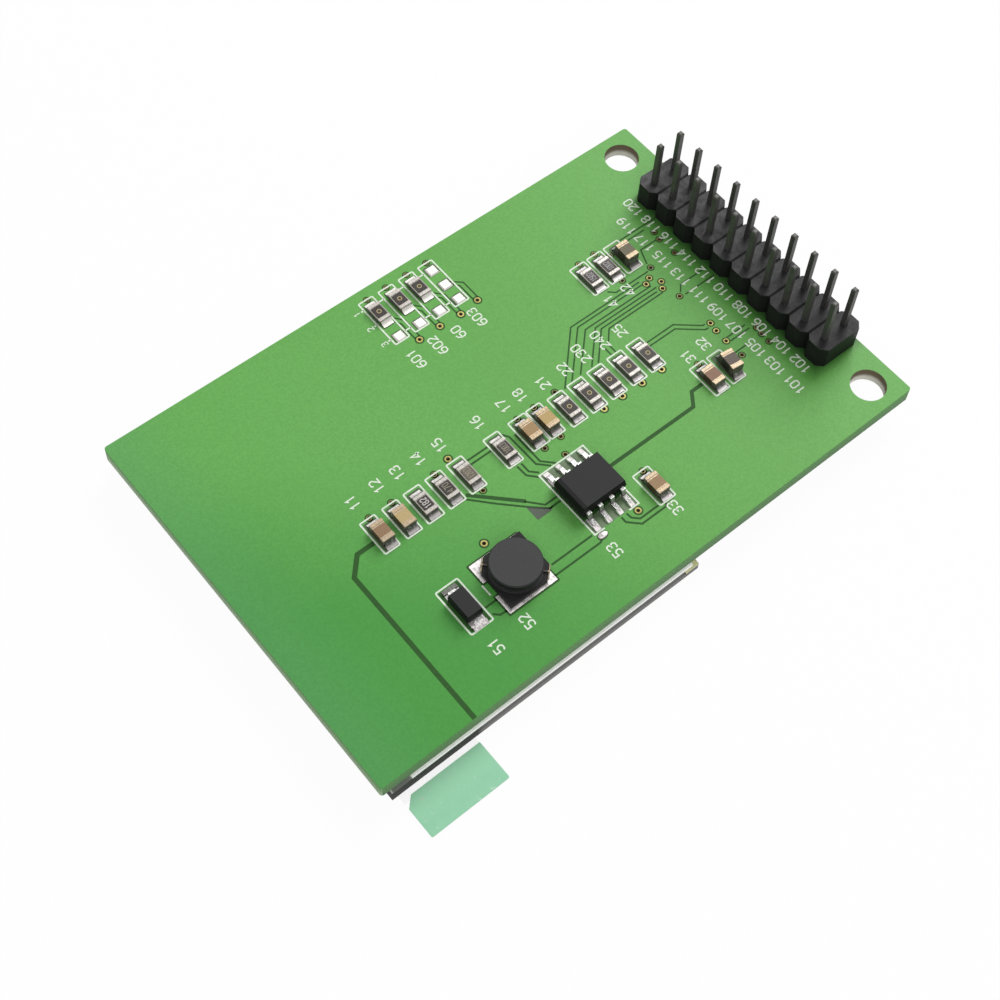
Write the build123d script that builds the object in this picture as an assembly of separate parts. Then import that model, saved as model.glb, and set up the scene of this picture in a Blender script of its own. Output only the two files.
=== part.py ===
from build123d import *
import os

# Display module lying on its glass, component side up.
# All lengths are millimetres. X runs from the display end to the header end,
# Y to the far long edge, Z up from the face of the protective film.

# board outline
board_length = 60.0
board_width = 39.1
board_thickness = 1.6
board_corner_radius = 0.3
mount_hole_diameter = 3.4
mount_hole_from_end = 2.84
mount_hole_from_side = 2.7
via_diameter = 0.35
small_hole_sides = 8

# display stack under the board
film_thickness = 0.1
polarizer_thickness = 0.2
glass_thickness = 0.7
tape_thickness = 0.4
panel_start = 0.9
panel_length = 33.0
panel_overhang = 0.2
panel_ledge = 1.7
polarizer_margin = 0.7
tape_start = 2.9
tape_end_gap = 0.9

# flexible circuit from the glass ledge to the board, measured from the panel's end
flex_thickness = 0.1
flex_bond = 1.5
flex_straight = 0.6
flex_bend_run = 3.0
flex_reach = 15.1
flex_narrow_width = 26.0
flex_notch_reach = 0.15
flex_notch_depth = 1.6
flex_taper_reach = 5.6
driver_length = 14.0
driver_width = 1.6
driver_thickness = 0.6
driver_reach = 9.3

# film tongue and pull tab beside the display
tab_start = 1.5
tab_length = 7.85
tab_width = 3.8
tab_overlap = 0.3
tab_gap = 0.5
tab_thickness = 0.1
tab_corner_radius = 0.15
tab_corner_cut = 0.85
film_corner_cut = 0.6

# pin header
pitch = 2.54
pins_per_row = 10
pin_side = 0.5
pin_above_board = 7.8
pin_below_board = 1.3
pin_tip_chamfer = 0.1
header_chamfer = 0.6
header_height = 2.54
header_side_gap = 0.12
header_offset_y = -0.2
header_hole_diameter = 1.0
groove_depth = 0.14
joint_radius = 0.85
joint_tip_radius = 0.47
joint_height = 0.9
joint_sides = 8

# chip parts, long axis along Y
chip_length = 2.0
chip_width = 1.25
chip_cap = 0.36
cap_proud = 0.025
resistor_height = 0.5
capacitor_height = 0.85
tall_capacitor_height = 1.25
chip_pad_width = 1.08
chip_pad_reach = 0.52
solder_lip = 0.06
resistor_solder_share = 0.8
capacitor_solder_share = 0.62
bare_pad_side = 1.06
bare_pad_height = 0.12
bare_pad_taper = 50

# eight lead package
package_x = 30.13
package_y = 10.15
package_length = 4.9
package_width = 3.9
package_standoff = 0.15
package_height = 1.6
package_mid = 0.85
package_draft = 11
lead_pitch = 1.27
lead_width = 0.42
lead_thickness = 0.2
lead_span = 6.0
lead_foot = 0.62
lead_pad_width = 0.68
lead_pad_length = 1.5
pad_solder = 0.05
lead_inset = 0.15
lead_bend = 0.22
lead_slant = 0.12
lead_solder_run = 0.2
bead_radius = 0.55
bead_stretch = (1, 0.66, 0.36)
bead_place = (28.12, 6.08)

# power inductor
inductor_x = 20.12
inductor_y = 8.08
inductor_side = 5.0
inductor_corner_cut = 1.1
inductor_height = 1.6
lower_flange = 0.45
upper_flange = 0.62
upper_flange_diameter = 4.68
core_post_diameter = 2.2
winding_diameter = 4.1
rim_chamfer = 0.1
inductor_pad_x = 19.85
inductor_pad_length = 5.12
inductor_pad_width = 1.95
inductor_pad_offset = 1.77
inductor_pad_y = 8.02
wire_diameter = 0.14
wire_length = 1.4

# diode
diode_x = 14.75
diode_y = 8.05
diode_length = 2.7
diode_width = 1.6
diode_height = 1.12
diode_draft = 7
diode_lead_width = 0.75
diode_lead_reach = 0.5
diode_lead_thickness = 0.14
diode_pad_width = 1.45
diode_pad_reach = 0.95
diode_lead_root = 0.3
diode_solder_run = 0.08
diode_solder_rise = 0.16

# levels of the stack
film_top = film_thickness
polarizer_top = film_top + polarizer_thickness
front_glass_top = polarizer_top + glass_thickness
cap_glass_top = front_glass_top + glass_thickness
board_bottom = cap_glass_top + tape_thickness
board_top = board_bottom + board_thickness
housing_top = board_top + header_height
panel_end = panel_start + panel_length
cap_glass_length = panel_length - panel_ledge
panel_width = board_width + 2 * panel_overhang
header_centre_y = board_width / 2 + header_offset_y
cap_glass_end = panel_start + cap_glass_length
flex_bend_start = panel_end + flex_straight
flex_bend_end = flex_bend_start + flex_bend_run
flex_notch_end = panel_end + flex_notch_reach
flex_notch_side = panel_width / 2 - flex_notch_depth
flex_taper_end = panel_end + flex_taper_reach
flex_end = panel_end + flex_reach
driver_x = panel_end + driver_reach


def from_header_end(spots):
    """Spots given from the header end, turned into board places."""
    return [(board_length - spot[0], *spot[1:]) for spot in spots]


def from_far_side(spots):
    """Spots given from the far long edge, turned into board places."""
    return [(x, board_width - y) for x, y in spots]


# parts of the long row and around the package, from the corner at the display end
row_resistors = [
    (18.12, 17.62), (20.5, 17.62), (22.85, 17.62), (26.9, 17.62),
    (34.08, 17.42), (36.42, 17.42), (38.78, 17.42), (41.1, 17.42), (43.42, 17.42),
]
row_capacitors = [
    (13.55, 17.62, capacitor_height, 0), (15.82, 17.62, capacitor_height, 0),
    (29.74, 17.6, capacitor_height, 0), (31.68, 17.6, capacitor_height, 0),
    (34.86, 6.75, capacitor_height, 0),
]
row_vias = [
    (13.65, 19.6), (16.03, 19.62), (20.6, 19.56), (22.5, 20.03), (22.9, 15.74),
    (29.79, 19.47), (31.76, 19.5), (29.79, 15.7), (31.68, 15.75), (34.26, 19.6),
    (36.57, 15.56), (38.76, 15.56), (41.08, 15.52), (43.47, 15.52),
    (35.0, 8.67), (32.08, 6.0), (30.8, 14.1), (19.74, 11.7),
]

# parts near the header, from the header end
header_resistors = [(14.98, 27.0), (12.88, 27.0)]
header_capacitors = [
    (13.64, 11.95, capacitor_height, 0),
    (11.38, 11.95, tall_capacitor_height, -7),
    (10.64, 27.0, tall_capacitor_height, -2),
]
header_vias = [
    (13.55, 13.92), (9.51, 16.55), (9.68, 15.59), (9.74, 14.2), (9.67, 12.18),
    (6.5, 13.53), (6.61, 12.76), (6.65, 11.73),
    (14.73, 29.08), (12.8, 29.1), (12.74, 25.18), (11.7, 28.08),
    (9.6, 24.67), (10.53, 23.85), (11.24, 23.5), (9.9, 22.86), (10.35, 22.2),
    (9.7, 20.55), (6.5, 27.6), (6.7, 26.67), (6.62, 24.6),
]

# jumper footprints, from the far long edge
jumper_resistors = [(27.1, 3.23), (29.45, 3.23), (31.72, 3.23)]
bare_pads = [
    (27.1, 6.25), (29.45, 6.25), (31.72, 6.25),
    (33.97, 2.25), (33.97, 4.25), (33.97, 6.25),
]
jumper_vias = [
    (27.2, 1.24), (29.42, 1.18), (31.78, 1.16), (34.1, 1.2),
    (28.3, 7.66), (30.67, 7.62), (33.0, 7.73), (35.2, 7.43),
]

resistor_places = row_resistors + from_header_end(header_resistors) + from_far_side(jumper_resistors)
capacitor_places = row_capacitors + from_header_end(header_capacitors)
bare_pad_places = from_far_side(bare_pads)
via_places = row_vias + from_header_end(header_vias) + from_far_side(jumper_vias)


def place(x, y, z=0.0):
    """Location on the board from corner measures, in the part's frame."""
    return Pos(x - board_length / 2, y - board_width / 2, z)


def slab(x_start, x_end, y_start, y_end, z_start, z_end):
    middle = place((x_start + x_end) / 2, (y_start + y_end) / 2, (z_start + z_end) / 2)
    return middle * Box(x_end - x_start, y_end - y_start, z_end - z_start)


def save(shape, name):
    shape.label = name
    export_step(shape, "parts/" + name + ".step")


def group(shapes):
    return Compound(children=list(shapes))


def small_drill(diameter):
    """Cutter for a plated hole, long enough to pass through the board."""
    section = RegularPolygon(diameter / 2, small_hole_sides, major_radius=False)
    return extrude(section, board_thickness, both=True)


def side_profile(points, width):
    """Prism with its outline in the YZ plane, centred on X."""
    face = make_face(Plane.YZ * Polyline(*points, close=True))
    return extrude(face, width / 2, both=True)


def fillet_wedge(reach, height, width):
    """Solder running down from a terminal at Y = 0 to a pad edge at Y = reach."""
    curve_middle = (reach * 0.36, height * 0.4 + solder_lip * 0.2)
    outline = [
        Plane.YZ * Line((0, 0), (reach, 0)),
        Plane.YZ * Line((reach, 0), (reach, solder_lip)),
        Plane.YZ * ThreePointArc((reach, solder_lip), curve_middle, (0, height)),
        Plane.YZ * Line((0, height), (0, 0)),
    ]
    return extrude(make_face(outline), width / 2, both=True)


def chip(height):
    """Body with two slightly proud end caps, standing on Z = 0."""
    cap_offset = (chip_length - chip_cap) / 2
    core_length = chip_length - chip_cap
    core = Pos(0, 0, height / 2) * Box(chip_width, core_length, height - 2 * cap_proud)
    cap_width = chip_width + 2 * cap_proud
    cap_box = Box(cap_width, chip_cap, height + 2 * cap_proud)
    cap_box = chamfer(cap_box.edges(), cap_proud * 1.6)
    cap_level = height / 2 + cap_proud
    body = Pos(0, 0, cap_proud) * core
    for side in (-1, 1):
        body += Pos(0, side * cap_offset, cap_level) * cap_box
    return body


os.makedirs("parts", exist_ok=True)

# header positions
header_x = board_length - header_side_gap - pitch
first_row_x = header_x - pitch / 2
pin_places = []
for row in range(2):
    for index in range(pins_per_row):
        pin_y = header_centre_y + (index - (pins_per_row - 1) / 2) * pitch
        pin_places.append((first_row_x + row * pitch, pin_y))

# board with its holes
outline = RectangleRounded(board_length, board_width, board_corner_radius)
board = Pos(0, 0, board_bottom) * extrude(outline, board_thickness)
board_middle = board_bottom + board_thickness / 2
mount_drill = Cylinder(mount_hole_diameter / 2, 2 * board_thickness)
pin_drill = small_drill(header_hole_diameter)
via_drill = small_drill(via_diameter)
mount_x = board_length - mount_hole_from_end
drills = [
    place(mount_x, mount_hole_from_side, board_middle) * mount_drill,
    place(mount_x, board_width - mount_hole_from_side, board_middle) * mount_drill,
]
drills += [place(x, y, board_middle) * pin_drill for x, y in pin_places]
drills += [place(x, y, board_middle) * via_drill for x, y in via_places]
board = board - drills
save(board, "pcb")

# header housing: ten cut-cornered blocks in one moulding
half_depth = pitch
half_length = pins_per_row * pitch / 2
right_side = []
for index in range(pins_per_row):
    start = -half_length + index * pitch
    right_side.append((half_depth - header_chamfer, start))
    right_side.append((half_depth, start + header_chamfer))
    right_side.append((half_depth, start + pitch - header_chamfer))
right_side.append((half_depth - header_chamfer, half_length))
left_side = [(-x, y) for x, y in reversed(right_side)]
housing_face = make_face(Polyline(*right_side, *left_side, close=True))
housing = place(header_x, header_centre_y, board_top) * extrude(housing_face, header_height)
pin_cut = Box(pin_side, pin_side, 4 * header_height)
cuts = [place(x, y, housing_top) * pin_cut for x, y in pin_places]
groove = Rot(45, 0, 0) * Box(3 * pitch, groove_depth * 2 ** 0.5, groove_depth * 2 ** 0.5)
for index in range(1, pins_per_row):
    groove_y = header_centre_y - half_length + index * pitch
    cuts.append(place(header_x, groove_y, housing_top) * groove)
housing = housing - cuts
save(housing, "header_housing")

# square pins with blunt tips
pin_length = pin_above_board + board_thickness + pin_below_board
pin = Box(pin_side, pin_side, pin_length)
pin_ends = pin.faces().sort_by(Axis.Z)
tip_edges = pin_ends[0].edges() + pin_ends[-1].edges()
pin = chamfer(tip_edges, pin_tip_chamfer)
pin_middle = board_bottom - pin_below_board + pin_length / 2
for number, (x, y) in enumerate(pin_places, start=1):
    save(place(x, y, pin_middle) * pin, f"header_pin_{number:02d}")

# solder cones under the board, around each pin
joint_base = RegularPolygon(joint_radius, joint_sides)
joint_tip = Pos(0, 0, -joint_height) * RegularPolygon(joint_tip_radius, joint_sides)
joint = loft([joint_base, joint_tip]) - Box(pin_side, pin_side, 4 * joint_height)
joints = [place(x, y, board_bottom) * joint for x, y in pin_places]
save(group(joints), "header_solder")

# glass panel, widest in Y and centred on the board
panel_near = (board_width - panel_width) / 2
panel_far = panel_near + panel_width
front_glass = slab(panel_start, panel_end, panel_near, panel_far, polarizer_top, front_glass_top)
save(front_glass, "front_glass")
cap_glass = slab(panel_start, cap_glass_end, panel_near, panel_far, front_glass_top, cap_glass_top)
save(cap_glass, "cap_glass")

polarizer_near = panel_near + polarizer_margin
polarizer_far = panel_far - polarizer_margin
polarizer_start = panel_start + polarizer_margin
polarizer = slab(polarizer_start, cap_glass_end, polarizer_near, polarizer_far, film_top, polarizer_top)
save(polarizer, "polarizer")

tape = slab(tape_start, panel_end - tape_end_gap, panel_near, panel_far, cap_glass_top, board_bottom)
save(tape, "mounting_tape")

# protective film with a tongue that reaches out to the pull tab
tab_edge = panel_near - tab_gap
tongue_edge = tab_edge - tab_overlap
film = slab(polarizer_start, cap_glass_end, polarizer_near, polarizer_far, 0, film_top)
film += slab(tab_start, tab_start + tab_length, tongue_edge, polarizer_near, 0, film_top)
film = chamfer(film.edges().filter_by(Axis.Z).sort_by(Axis.Y)[-2:], film_corner_cut)
save(film, "protective_film")

tab_top = film_top + tab_thickness
tab_end = tab_start + tab_length
tab = slab(tab_start, tab_end, tab_edge - tab_width, tab_edge, film_top, tab_top)
tab = fillet(tab.edges().filter_by(Axis.Z).sort_by(Axis.Y)[:2], tab_corner_radius)
tab = chamfer(tab.edges().filter_by(Axis.Z).sort_by(Axis.Y)[-2:].sort_by(Axis.X)[:1], tab_corner_cut)
save(tab, "pull_tab")

# flexible circuit: bonded on the ledge, rising in an S to the underside of the board
bond_start = panel_end - flex_bond
low = front_glass_top
high = board_bottom - flex_thickness
bend_middle = (flex_bend_start + flex_bend_end) / 2


def flex_edge(level):
    """Line of one face of the flex in the XZ plane, raised by level."""
    start = Line((bond_start, low + level), (flex_bend_start, low + level))
    halfway = (bend_middle, (low + high) / 2 + level)
    lower_arc = TangentArc((flex_bend_start, low + level), halfway, tangent=(1, 0))
    upper_arc = TangentArc((flex_bend_end, high + level), halfway, tangent=(-1, 0))
    finish = Line((flex_bend_end, high + level), (flex_end, high + level))
    return [start, lower_arc, upper_arc, finish]


flex_outline = flex_edge(0) + flex_edge(flex_thickness)
flex_outline.append(Line((bond_start, low), (bond_start, low + flex_thickness)))
flex_outline.append(Line((flex_end, high), (flex_end, high + flex_thickness)))
flex_profile = make_face([Plane.XZ * edge for edge in flex_outline])
flex_body = extrude(flex_profile, panel_width / 2, both=True)
flex_plan = make_face(Polyline(
    (bond_start, -panel_width / 2),
    (panel_end, -panel_width / 2),
    (flex_notch_end, -flex_notch_side),
    (flex_taper_end, -flex_narrow_width / 2),
    (flex_end, -flex_narrow_width / 2),
    (flex_end, flex_narrow_width / 2),
    (flex_taper_end, flex_narrow_width / 2),
    (flex_notch_end, flex_notch_side),
    (panel_end, panel_width / 2),
    (bond_start, panel_width / 2),
    close=True,
))
flex = flex_body & extrude(flex_plan, board_top)
save(Pos(-board_length / 2, 0, 0) * flex, "flex_circuit")

driver_bottom = high - driver_thickness
driver = Pos(driver_x - board_length / 2, 0, driver_bottom + driver_thickness / 2) * Box(
    driver_width, driver_length, driver_thickness
)
save(driver, "driver_chip")

# chip resistors and capacitors
solder = []
resistor = chip(resistor_height)
for number, (x, y) in enumerate(resistor_places, start=1):
    save(place(x, y, board_top) * resistor, f"resistor_{number:02d}")

terminal = chip_length / 2
resistor_wedge = fillet_wedge(chip_pad_reach, resistor_height * resistor_solder_share, chip_pad_width)
for x, y in resistor_places:
    for turn in (0, 180):
        solder.append(place(x, y, board_top) * Rot(0, 0, turn) * Pos(0, terminal, 0) * resistor_wedge)

for number, (x, y, height, angle) in enumerate(capacitor_places, start=1):
    seat = place(x, y, board_top) * Rot(0, 0, angle)
    save(seat * chip(height), f"capacitor_{number:02d}")
    wedge = fillet_wedge(chip_pad_reach, height * capacitor_solder_share, chip_pad_width)
    for turn in (0, 180):
        solder.append(seat * Rot(0, 0, turn) * Pos(0, terminal, 0) * wedge)

# domed solder on the pads that carry no part
bare_pad = extrude(Rectangle(bare_pad_side, bare_pad_side), bare_pad_height, taper=bare_pad_taper)
for x, y in bare_pad_places:
    solder.append(place(x, y, board_top) * bare_pad)

# eight lead package: body of two drafted halves
package_plan = Rectangle(package_length, package_width)
upper_half = extrude(package_plan, package_height - package_mid, taper=package_draft)
lower_half = extrude(package_plan, package_mid - package_standoff, taper=package_draft)
lower_half = mirror(lower_half, about=Plane.XY)
package = upper_half + lower_half
package_seat = place(package_x, package_y, board_top)
package_body = package_seat * Pos(0, 0, package_mid) * package
save(package_body, "regulator_body")

# gull wing leads
toe = lead_span / 2
heel = toe - lead_foot
shoulder = heel - lead_bend
root = package_width / 2 - lead_inset
foot_low = pad_solder
foot_high = pad_solder + lead_thickness
arm_high = package_mid + lead_thickness / 2
arm_low = arm_high - lead_thickness
lead_points = [
    (root, arm_low),
    (shoulder - lead_slant, arm_low),
    (heel - lead_slant, foot_low),
    (toe, foot_low),
    (toe, foot_high),
    (heel, foot_high),
    (shoulder + lead_slant / 2, arm_high),
    (root, arm_high),
]
lead = side_profile(lead_points, lead_width)
pad_start = toe - lead_pad_length * 0.62
pad_finish = pad_start + lead_pad_length
lead_pad = side_profile(
    [
        (pad_start, 0),
        (pad_finish, 0),
        (pad_finish, pad_solder),
        (toe + lead_solder_run, foot_high * 0.55),
        (toe, foot_high * 0.85),
        (toe, pad_solder),
        (pad_start, pad_solder),
    ],
    lead_pad_width,
)
leads = []
for turn in (0, 180):
    for index in range(4):
        along = (index - 1.5) * lead_pitch
        spot = package_seat * Rot(0, 0, turn) * Pos(along, 0, 0)
        leads.append(spot * lead - package_body)
        solder.append(spot * lead_pad)
save(group(leads), "regulator_leads")

# stray bead of solder below the package's first lead
bead = scale(Sphere(bead_radius), bead_stretch)
bead &= Pos(0, 0, bead_radius) * Box(4 * bead_radius, 4 * bead_radius, 2 * bead_radius)
solder.append(place(*bead_place, board_top) * bead)

# inductor: square lower flange with two cut corners, post and round upper flange
half_side = inductor_side / 2
cut = inductor_corner_cut
flange_outline = Polyline(
    (-half_side, -half_side),
    (half_side - cut, -half_side),
    (half_side, -half_side + cut),
    (half_side, half_side),
    (-half_side + cut, half_side),
    (-half_side, half_side - cut),
    close=True,
)
flange = extrude(make_face(flange_outline), lower_flange)
top_level = inductor_height - upper_flange
post_height = top_level - lower_flange
post = Pos(0, 0, lower_flange + post_height / 2) * Cylinder(core_post_diameter / 2, post_height)
disc = Pos(0, 0, top_level + upper_flange / 2) * Cylinder(upper_flange_diameter / 2, upper_flange)
disc = chamfer(disc.edges().filter_by(GeomType.CIRCLE), rim_chamfer)
inductor_seat = place(inductor_x, inductor_y, board_top + pad_solder)
core = flange + post + disc
save(inductor_seat * core, "inductor_core")

# winding: a barrel of wire and two ends led down the cut corners to the pads
barrel = Cylinder(winding_diameter / 2, post_height) - Cylinder(core_post_diameter / 2, 2 * post_height)
winding = Pos(0, 0, lower_flange + post_height / 2) * barrel
corner_reach = (half_side - cut / 2) * 2 ** 0.5 + wire_diameter / 2
wire = Cylinder(wire_diameter / 2, wire_length, rotation=(90, 0, 0))
lead_in_length = corner_reach - winding_diameter / 2 + wire_diameter
lead_in_middle = winding_diameter / 2 - wire_diameter / 2 + lead_in_length / 2
lead_in = Box(lead_in_length, wire_diameter, wire_diameter)
for turn in (135, -45):
    winding += Rot(0, 0, turn) * Pos(lead_in_middle, 0, lower_flange + wire_diameter / 2) * lead_in
    winding += Rot(0, 0, turn) * Pos(corner_reach, 0, lower_flange) * wire
save(inductor_seat * winding, "inductor_winding")

pad_plate = Box(inductor_pad_length, inductor_pad_width, pad_solder)
for side in (-1, 1):
    pad_y = inductor_pad_y + side * inductor_pad_offset
    solder.append(place(inductor_pad_x, pad_y, board_top + pad_solder / 2) * pad_plate)

# diode: drafted body on two flat leads
diode_plan = Rectangle(diode_width, diode_length)
diode_mid = diode_height * 0.45
diode_upper = extrude(diode_plan, diode_height - diode_mid, taper=diode_draft)
diode_lower = mirror(extrude(diode_plan, diode_mid - pad_solder, taper=diode_draft), about=Plane.XY)
diode_seat = place(diode_x, diode_y, board_top)
diode_body = diode_seat * Pos(0, 0, diode_mid) * (diode_upper + diode_lower)
save(diode_body, "diode_body")

lead_root = diode_length / 2 - diode_lead_root
lead_tip = diode_length / 2 + diode_lead_reach
lead_level = pad_solder + diode_lead_thickness / 2
diode_lead = Pos(0, (lead_root + lead_tip) / 2, lead_level) * Box(
    diode_lead_width, lead_tip - lead_root, diode_lead_thickness
)
pad_from = lead_root
pad_to = diode_length / 2 + diode_pad_reach
diode_pad = side_profile(
    [
        (pad_from, 0),
        (pad_to, 0),
        (pad_to, pad_solder),
        (lead_tip + diode_solder_run, pad_solder + diode_solder_rise),
        (lead_tip, pad_solder + diode_solder_rise),
        (lead_tip, pad_solder),
        (pad_from, pad_solder),
    ],
    diode_pad_width,
)
diode_leads = []
for turn in (0, 180):
    spot = diode_seat * Rot(0, 0, turn)
    diode_leads.append(spot * diode_lead - diode_body)
    solder.append(spot * diode_pad)
save(group(diode_leads), "diode_leads")

save(group(solder), "chip_solder")
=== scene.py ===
import math
import bmesh
import bpy
from mathutils import Matrix, Vector


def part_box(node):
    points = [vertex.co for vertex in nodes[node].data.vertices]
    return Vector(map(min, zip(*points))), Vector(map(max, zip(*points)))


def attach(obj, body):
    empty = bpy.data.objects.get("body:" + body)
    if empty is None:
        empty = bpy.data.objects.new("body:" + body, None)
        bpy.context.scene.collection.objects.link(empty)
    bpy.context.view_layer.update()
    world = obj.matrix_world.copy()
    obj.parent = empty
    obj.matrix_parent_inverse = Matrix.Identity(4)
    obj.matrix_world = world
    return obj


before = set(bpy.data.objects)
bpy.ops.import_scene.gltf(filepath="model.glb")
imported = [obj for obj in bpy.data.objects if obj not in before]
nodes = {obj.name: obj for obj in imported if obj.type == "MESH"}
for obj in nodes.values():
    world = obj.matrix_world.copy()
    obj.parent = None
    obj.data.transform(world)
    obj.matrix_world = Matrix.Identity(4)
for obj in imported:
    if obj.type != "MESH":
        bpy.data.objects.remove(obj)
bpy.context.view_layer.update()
mm = 0.001
boardLow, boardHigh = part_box("pcb")
underside = (boardLow.z - boardHigh.z) / mm      # the board's lower face, measured from its top
panelClear = 34                                  # the display hides the lower face up to this x
print("frame loaded with", len(nodes), "nodes")


# Places on the board: millimetres from the near corner at the display end, and from the board's top.
# Where a note says model millimetres, the place is measured from the origin.

def spot(x, y, z=0.0):
    return Vector((boardLow.x + x * mm, boardLow.y + y * mm, boardHigh.z + z * mm))


def tint(red, green, blue):  # a colour as seen on screen, 0 to 255
    values = [c / 255 for c in (red, green, blue)]
    return tuple(c / 12.92 if c <= 0.04045 else ((c + 0.055) / 1.055) ** 2.4 for c in values) + (1.0,)


def darker(colour, share):
    return tuple(c * share for c in colour[:3]) + (1.0,)


# Shader sums and finishes

class Wire:
    # a socket that can stand in a sum; each operator adds its Math node
    def __init__(self, graph, socket):
        self.graph = graph
        self.socket = socket

    def math(self, operation, first, second=0.0):
        return self.graph.node("ShaderNodeMath", {"operation": operation}, {0: first, 1: second})

    def __add__(self, other):
        return self.math("ADD", self, other)

    def __radd__(self, other):
        return self.math("ADD", other, self)

    def __sub__(self, other):
        return self.math("SUBTRACT", self, other)

    def __rsub__(self, other):
        return self.math("SUBTRACT", other, self)

    def __mul__(self, other):
        return self.math("MULTIPLY", self, other)

    def __rmul__(self, other):
        return self.math("MULTIPLY", other, self)

    def __pow__(self, other):
        return self.math("POWER", self, other)

    def __abs__(self):
        return self.math("ABSOLUTE", self)

    def __gt__(self, other):
        return self.math("GREATER_THAN", self, other)

    def __lt__(self, other):
        return self.math("LESS_THAN", self, other)

    def orMore(self, other):
        return self.math("MAXIMUM", self, other)

    def wave(self):
        return self.math("SINE", self)

    def rise(self, low, high):  # 0 below low, 1 above high, smooth between
        settings = {"interpolation_type": "SMOOTHSTEP"}
        inputs = {"Value": self, "From Min": low, "From Max": high}
        return self.graph.node("ShaderNodeMapRange", settings, inputs, "Result")


class Graph:
    # a node tree; node() adds any node from its type, its settings and the values or links of its sockets
    def __init__(self, tree):
        self.tree = tree

    def node(self, kind, settings, inputs, output=0):
        made = self.tree.nodes.new(kind)
        for key, value in settings.items():
            setattr(made, key, value)
        for key, value in inputs.items():
            self.feed(made.inputs[key], value)
        return Wire(self, made.outputs[output])

    def feed(self, socket, value):
        if isinstance(value, Wire):
            self.tree.links.new(value.socket, socket)
        else:
            socket.default_value = value

    def plainlySeen(self):  # 1 for what the camera sees itself, in a mirror or through glass
        rays = ("Is Camera Ray", "Is Glossy Ray", "Is Transmission Ray")
        straight, mirrored, through = (self.node("ShaderNodeLightPath", {}, {}, ray) for ray in rays)
        return straight.orMore(mirrored).orMore(through)


class Finish(Graph):
    # one material; constants go to its shader, and the methods are short for the common nodes
    def __init__(self, name, **constants):
        self.material = bpy.data.materials.new(name)
        self.material.use_nodes = True
        super().__init__(self.material.node_tree)
        self.shader = self.tree.nodes["Principled BSDF"]
        for key, value in constants.items():
            self.put(key.replace("_", " "), value)
        metres = self.node("ShaderNodeTexCoord", {}, {}, "Object")
        inputs = {"Vector": metres, "Scale": 1 / mm}
        self.place = self.node("ShaderNodeVectorMath", {"operation": "SCALE"}, inputs, "Vector")
        self.x, self.y, self.z = (self.part(self.place, axis) for axis in "XYZ")      # model millimetres

    def put(self, name, value):
        self.feed(self.shader.inputs[name], value)

    def part(self, vector, axis):
        return self.node("ShaderNodeSeparateXYZ", {}, {0: vector}, axis)

    def facing(self, axis):  # the surface's own direction along an axis, -1 to 1
        return self.part(self.node("ShaderNodeTexCoord", {}, {}, "Normal"), axis)

    def onWall(self):  # 1 on upright faces, 0 on those that look up or down
        return abs(self.facing("Z")) < 0.5

    def inBox(self, middle, reach):  # 1 within reach of the middle along x and y
        return (abs(self.x - middle[0]) < reach[0]) * (abs(self.y - middle[1]) < reach[1])

    def distance(self, middle):  # across the board, from a place given as (x, y)
        offX, offY = self.x - middle[0], self.y - middle[1]
        return (offX * offX + offY * offY) ** 0.5

    def mix(self, mask, first, second):  # colours: first where the mask is 0, second where it is 1
        return self.node("ShaderNodeMix", {"data_type": "RGBA"}, {0: mask, 6: first, 7: second}, 2)

    def noise(self, scale, detail=2.0, rough=0.5):  # scale is per millimetre
        inputs = {"Vector": self.place, "Scale": scale, "Detail": detail, "Roughness": rough}
        return self.node("ShaderNodeTexNoise", {}, inputs, 0)

    def grains(self, scale):
        inputs = {"Vector": self.place, "Scale": scale}
        return self.node("ShaderNodeTexVoronoi", {"feature": "F1"}, inputs, "Distance")

    def bump(self, height, depth):  # depth in millimetres
        inputs = {"Height": height, "Strength": 1.0, "Distance": depth * mm}
        self.put("Normal", self.node("ShaderNodeBump", {}, inputs, "Normal"))


def dress(finish, *names):
    for name in names:
        for part in nodes[name].material_slots:
            part.material = finish.material


# Mesh helpers: everything is built from board measures

def addPiece(name, build, finish):
    shape = bmesh.new()
    build(shape)
    bmesh.ops.recalc_face_normals(shape, faces=shape.faces)
    mesh = bpy.data.meshes.new(name)
    shape.to_mesh(mesh)
    shape.free()
    mesh.materials.append(finish.material)
    piece = bpy.data.objects.new(name, mesh)
    bpy.context.scene.collection.objects.link(piece)
    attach(piece, "root")


def addPlate(shape, outline, low, high, inset=0.0):
    # a flat plate from its outline; inset draws the top face in, for a soft edge
    count = len(outline)
    middle = Vector((sum(p[0] for p in outline), sum(p[1] for p in outline))) / count
    bottom, top = [], []
    for point in outline:
        away = Vector(point) - middle
        drawn = middle + away * (1 - inset / away.length)
        bottom.append(shape.verts.new(spot(point[0], point[1], low)))
        top.append(shape.verts.new(spot(drawn.x, drawn.y, high)))
    shape.faces.new(top)
    shape.faces.new(list(reversed(bottom)))
    for i in range(count):
        j = (i + 1) % count
        shape.faces.new((bottom[i], bottom[j], top[j], top[i]))


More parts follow.
